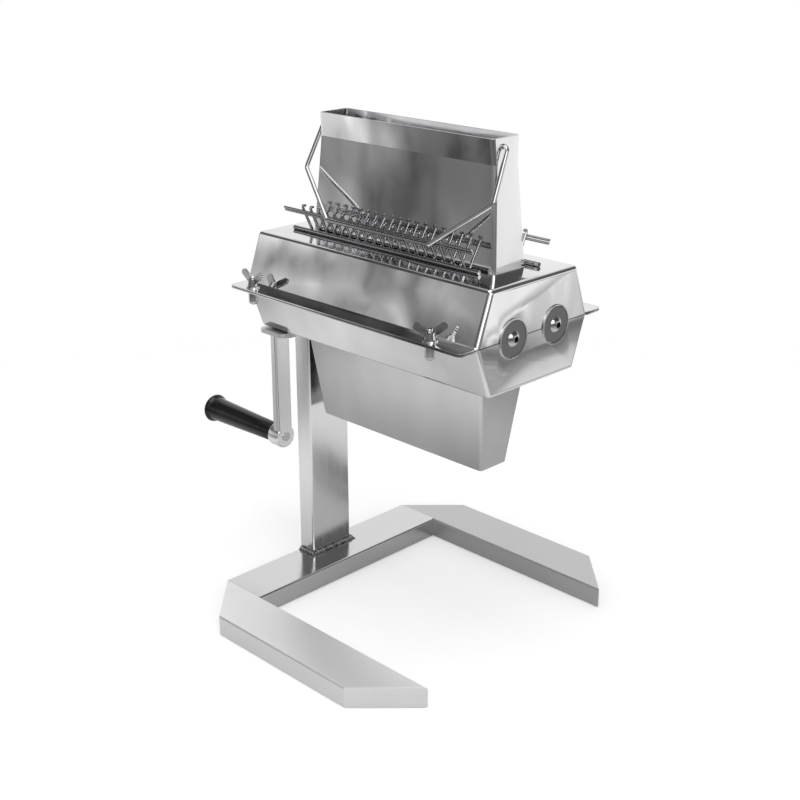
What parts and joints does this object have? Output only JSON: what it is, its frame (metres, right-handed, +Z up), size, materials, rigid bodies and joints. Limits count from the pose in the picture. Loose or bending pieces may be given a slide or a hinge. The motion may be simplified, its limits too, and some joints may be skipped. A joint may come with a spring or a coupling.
{
  "type": "hand cranked meat tenderizer",
  "caption": "Stainless steel hand cranked meat tenderizer: toothed blade rollers with stripper combs in a bolted housing, feed hopper above, chute below, on a post and tube base.",
  "frame": {"origin": "on the floor, under the middle of the base's crossbar", "axes": "+Z up; +X from the crank end towards the free end, along the rollers; -Y towards the crank's roller"},
  "size_m": [0.4064, 0.337, 0.461],
  "materials": {
    "polished_sheet": "polished stainless sheet with soft mirror reflections",
    "satin_steel": "satin brushed stainless tube",
    "crank_steel": "fine brushed stainless bar with a polished boss",
    "comb_steel": "bright stainless rod and strip",
    "wire_steel": "bright drawn stainless wire",
    "blade_steel": "ground stainless blade",
    "roller_steel": "turned stainless",
    "hardware": "bright stainless fastener",
    "polished_ring": "turned and polished ring",
    "matte_disc": "blasted matte stainless",
    "weld_steel": "rippled weld bead, darkened",
    "gasket": "black rubber sheet",
    "grip_plastic": "glossy black moulded plastic"
  },
  "bodies": {
    "stand": {"base_leg_front": "satin_steel", "base_leg_back": "satin_steel", "base_crossbar": "satin_steel", "post": "satin_steel", "post_weld_bead": "weld_steel", "saddle_plate": "satin_steel", "saddle_pad": "gasket", "saddle_bolts": "hardware", "saddle_nuts": "hardware", "lower_housing": "polished_sheet", "discharge_chute": "polished_sheet", "upper_cover": "polished_sheet", "feed_hopper": "polished_sheet", "front_comb": "comb_steel", "back_comb": "comb_steel", "free_end_bearings": "polished_ring", "crank_end_bearings": "polished_ring", "flange_bolts": "hardware", "flange_washers": "hardware"},
    "drive_roller": {"front_shaft": "roller_steel", "front_blades": "blade_steel", "front_spacers": "roller_steel", "front_circlips": "hardware", "front_gear": "roller_steel", "front_gear_key": "roller_steel", "front_end_disc": "matte_disc", "front_end_screw": "hardware", "crank_arm": "crank_steel", "crank_washer": "hardware", "crank_screw": "hardware", "grip_spindle": "hardware"},
    "idle_roller": {"back_shaft": "roller_steel", "back_blades": "blade_steel", "back_spacers": "roller_steel", "back_circlips": "hardware", "back_gear": "roller_steel", "back_gear_key": "roller_steel", "back_end_disc": "matte_disc", "back_end_screw": "hardware"},
    "grip": {"handle_grip": "grip_plastic"},
    "bail_wire": {"comb_bail": "wire_steel"},
    "nut_front_crank_end": {"wing_nut_front_crank_end": "hardware"},
    "nut_front_free_end": {"wing_nut_front_free_end": "hardware"},
    "nut_back_crank_end": {"wing_nut_back_crank_end": "hardware"},
    "nut_back_free_end": {"wing_nut_back_free_end": "hardware"}
  },
  "joints": [
    {"name": "crank_turn", "type": "hinge", "parent": "stand", "child": "drive_roller", "pos_m": [0, -0.027, 0.307], "axis": [1, 0, 0], "continuous": true},
    {"name": "idle_roller_turn", "type": "hinge", "parent": "stand", "child": "idle_roller", "pos_m": [0, 0.027, 0.307], "axis": [1, 0, 0], "continuous": true},
    {"name": "grip_spin", "type": "hinge", "parent": "drive_roller", "child": "grip", "pos_m": [-0.1, -0.027, 0.1385], "axis": [1, 0, 0], "continuous": true},
    {"name": "bail_swing", "type": "hinge", "parent": "stand", "child": "bail_wire", "pos_m": [0, -0.0044, 0.454], "axis": [-1, 0, 0], "range_deg": [0, 303]},
    {"name": "nut_front_crank_end_turn", "type": "hinge", "parent": "stand", "child": "nut_front_crank_end", "pos_m": [-0.0137, -0.0818, 0.31], "axis": [0, 0, 1], "continuous": true},
    {"name": "nut_front_free_end_turn", "type": "hinge", "parent": "stand", "child": "nut_front_free_end", "pos_m": [0.2073, -0.0818, 0.31], "axis": [0, 0, 1], "continuous": true},
    {"name": "nut_back_crank_end_turn", "type": "hinge", "parent": "stand", "child": "nut_back_crank_end", "pos_m": [-0.0137, 0.0818, 0.31], "axis": [0, 0, 1], "continuous": true},
    {"name": "nut_back_free_end_turn", "type": "hinge", "parent": "stand", "child": "nut_back_free_end", "pos_m": [0.2073, 0.0818, 0.31], "axis": [0, 0, 1], "continuous": true}
  ],
  "couplings": [
    {"joint": "idle_roller_turn", "follows": "crank_turn", "ratio": -1}
  ]
}
